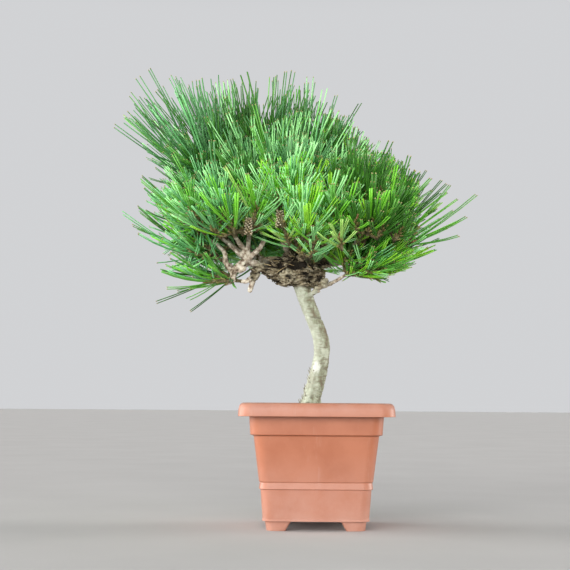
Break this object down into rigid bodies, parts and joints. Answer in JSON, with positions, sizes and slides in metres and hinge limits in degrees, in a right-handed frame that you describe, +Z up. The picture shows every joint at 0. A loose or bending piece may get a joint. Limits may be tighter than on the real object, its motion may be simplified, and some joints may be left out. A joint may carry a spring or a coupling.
{
  "type": "japanese black pine bonsai in a square pot",
  "caption": "Small black pine bonsai: bare leaning trunk, swollen rough head, wide fan-shaped crown of long needles, square plastic pot with feet.",
  "frame": {"origin": "under the middle of the whole plant's bounding box, at the level of the surface that the pot stands on", "axes": "+Z up along the trunk; -Y towards the side that the picture shows; +X towards the crown's shorter side, which is at the right in the picture"},
  "size_m": [0.3542, 0.2728, 0.4533],
  "materials": {
    "pot": "matte moulded plastic, terracotta colour, a little dusty",
    "soil": "dark granular bonsai soil",
    "trunk_bark": "pale grey-beige flaky bark",
    "bough_bark": "rough brown bark",
    "needles": "stiff green needles with a slight sheen"
  },
  "bodies": {
    "root": {"pot": "pot", "soil": "soil", "trunk": "trunk_bark", "leader": "bough_bark", "bough_left": "bough_bark", "bough_left_back": "bough_bark", "bough_back": "bough_bark", "bough_right": "bough_bark", "bough_right_back": "bough_bark", "bough_front": "bough_bark", "branch_left_low": "bough_bark", "branch_bottom_left": "bough_bark", "branch_front_left": "bough_bark", "branch_upper_left": "bough_bark", "branch_top_left": "bough_bark", "branch_top_right": "bough_bark", "branch_back_top": "bough_bark", "branch_front_top": "bough_bark", "branch_upper_right": "bough_bark", "branch_front_right": "bough_bark", "branch_shoulder": "bough_bark", "branch_right_low": "bough_bark", "needles_upper_left": "needles", "needles_top_left": "needles", "needles_top": "needles", "needles_top_right": "needles", "needles_back_top": "needles", "needles_front_top": "needles", "needles_upper_right": "needles", "needles_shoulder": "needles", "needles_right": "needles", "needles_right_low": "needles", "needles_front_right": "needles", "needles_front": "needles", "needles_front_left": "needles", "needles_left": "needles", "needles_left_low": "needles", "needles_bottom_left": "needles", "needles_back_left": "needles", "needles_back": "needles", "needles_back_right": "needles"}
  },
  "joints": []
}
